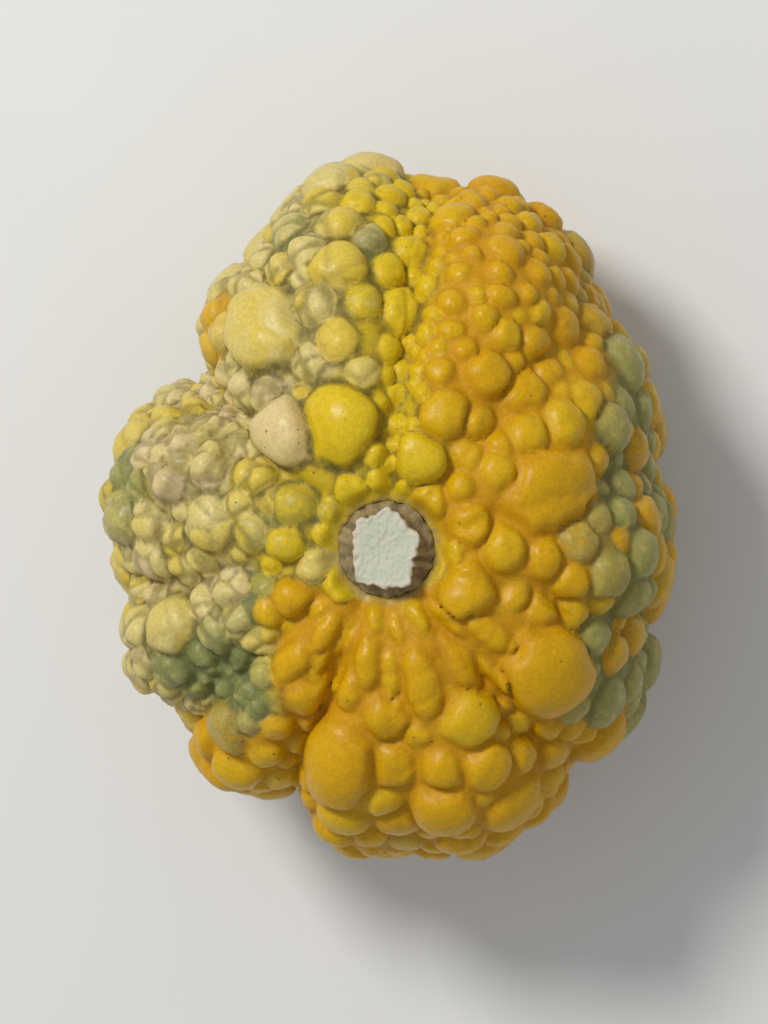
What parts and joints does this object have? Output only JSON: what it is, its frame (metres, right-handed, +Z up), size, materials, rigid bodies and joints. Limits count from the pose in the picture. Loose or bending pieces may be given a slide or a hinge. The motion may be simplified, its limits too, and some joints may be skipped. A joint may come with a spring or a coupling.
{
  "type": "ornamental warty gourd",
  "caption": "Flattened round ornamental gourd with a ribbed, densely warty yellow, cream and green rind and a short cut stem.",
  "frame": {"origin": "middle of the gourd's outline seen from above, on the surface it rests on", "axes": "+Z up along the stem, +Y along the gourd's longer width, +X to its right"},
  "size_m": [0.1159, 0.1439, 0.0955],
  "materials": {
    "rind": "satin",
    "stem": "matte"
  },
  "bodies": {
    "root": {"gourd_fruit": "rind", "stem_stub": "stem"}
  },
  "joints": []
}
